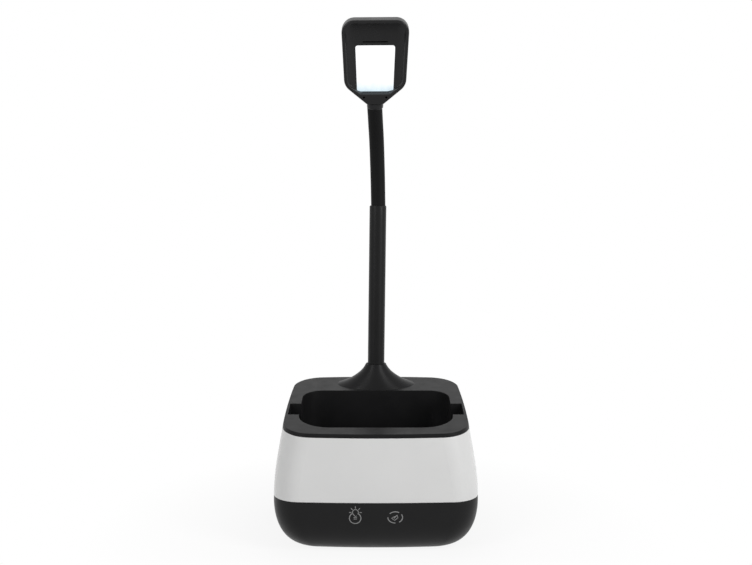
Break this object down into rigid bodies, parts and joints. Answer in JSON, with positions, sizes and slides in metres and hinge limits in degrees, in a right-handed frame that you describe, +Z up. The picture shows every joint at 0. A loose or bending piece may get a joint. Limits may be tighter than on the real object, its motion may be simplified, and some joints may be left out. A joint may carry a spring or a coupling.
{
  "type": "desk lamp with organizer base",
  "caption": "Desk lamp on a rounded base with an open storage well, phone slot, glowing band, stiff stem, bendable gooseneck and flat lit head.",
  "frame": {"origin": "middle of the base, on the table", "axes": "+Z up, +X to the right of someone facing the lamp, -Y towards them"},
  "size_m": [0.1502, 0.1282, 0.3876],
  "materials": {
    "black_plastic": "satin",
    "white_band": "gloss, translucent white",
    "sleeve_rubber": "matt black silicone",
    "light_diffuser": "opal, lit",
    "foot_rubber": "matt",
    "steel": "plain",
    "coil_steel": "wound strip",
    "brass": "turned",
    "ballast": "painted",
    "circuit_board": "solder mask",
    "white_board": "white solder mask",
    "chip": "moulded",
    "led": "phosphor",
    "strip_film": "flexible film",
    "pad_foam": "conductive foam",
    "wire_jacket": "matt"
  },
  "bodies": {
    "base": {"ballast_plate": "ballast", "ballast_screws": "steel", "board_parts": "chip", "bottom_cover": "black_plastic", "cover_screws": "steel", "deck_screws": "steel", "inlet_board": "circuit_board", "light_band": "white_band", "lower_housing": "black_plastic", "main_board": "circuit_board", "mood_leds": "led", "mood_strip": "strip_film", "neck_coil_0": "coil_steel", "neck_ferrule": "black_plastic", "neck_sleeve_0": "sleeve_rubber", "organizer_deck": "black_plastic", "power_inlet": "steel", "rubber_feet": "foot_rubber", "stem_lead": "wire_jacket", "stem_nipple": "brass", "stem_nut": "steel", "stem_tube": "black_plastic", "stem_washer": "steel", "touch_board": "circuit_board", "touch_pads": "pad_foam"},
    "neck_1": {"neck_sleeve_1": "sleeve_rubber", "neck_coil_1": "coil_steel"},
    "neck_2": {"neck_sleeve_2": "sleeve_rubber", "neck_coil_2": "coil_steel"},
    "neck_3": {"neck_sleeve_3": "sleeve_rubber", "neck_coil_3": "coil_steel"},
    "neck_4": {"neck_sleeve_4": "sleeve_rubber", "neck_coil_4": "coil_steel"},
    "neck_5": {"neck_sleeve_5": "sleeve_rubber", "neck_coil_5": "coil_steel"},
    "head": {"neck_sleeve_6": "sleeve_rubber", "neck_coil_6": "coil_steel", "head_frame": "black_plastic", "head_leds": "led", "head_shell": "black_plastic", "led_board": "white_board", "light_panel": "light_diffuser", "neck_collar": "black_plastic", "neck_end_nut": "steel", "neck_end_stud": "brass"}
  },
  "joints": [
    {"name": "neck_bend_1", "type": "hinge", "parent": "base", "child": "neck_1", "pos_m": [0.00175, 0.045, 0.25299], "axis": [1, 0, 0], "range_deg": [-15, 28]},
    {"name": "neck_sway_1", "type": "hinge", "parent": "neck_1", "child": "neck_2", "pos_m": [0.00154, 0.04418, 0.26476], "axis": [0, -0.9903, -0.1392], "range_deg": [-20, 20]},
    {"name": "neck_bend_2", "type": "hinge", "parent": "neck_2", "child": "neck_3", "pos_m": [0.00113, 0.04254, 0.27644], "axis": [1, 0, 0], "range_deg": [-15, 28]},
    {"name": "neck_sway_2", "type": "hinge", "parent": "neck_3", "child": "neck_4", "pos_m": [0.00051, 0.04009, 0.28796], "axis": [0, -0.9613, -0.2756], "range_deg": [-20, 20]},
    {"name": "neck_bend_3", "type": "hinge", "parent": "neck_4", "child": "neck_5", "pos_m": [-0.00021, 0.03684, 0.29929], "axis": [1, 0, 0], "range_deg": [-15, 28]},
    {"name": "neck_sway_3", "type": "hinge", "parent": "neck_5", "child": "head", "pos_m": [-0.00083, 0.03281, 0.31036], "axis": [0, -0.9135, -0.4067], "range_deg": [-20, 20]}
  ],
  "couplings": [
    {"joint": "neck_bend_2", "follows": "neck_bend_1", "ratio": 1},
    {"joint": "neck_sway_2", "follows": "neck_sway_1", "ratio": 1},
    {"joint": "neck_bend_3", "follows": "neck_bend_1", "ratio": 1},
    {"joint": "neck_sway_3", "follows": "neck_sway_1", "ratio": 1}
  ]
}
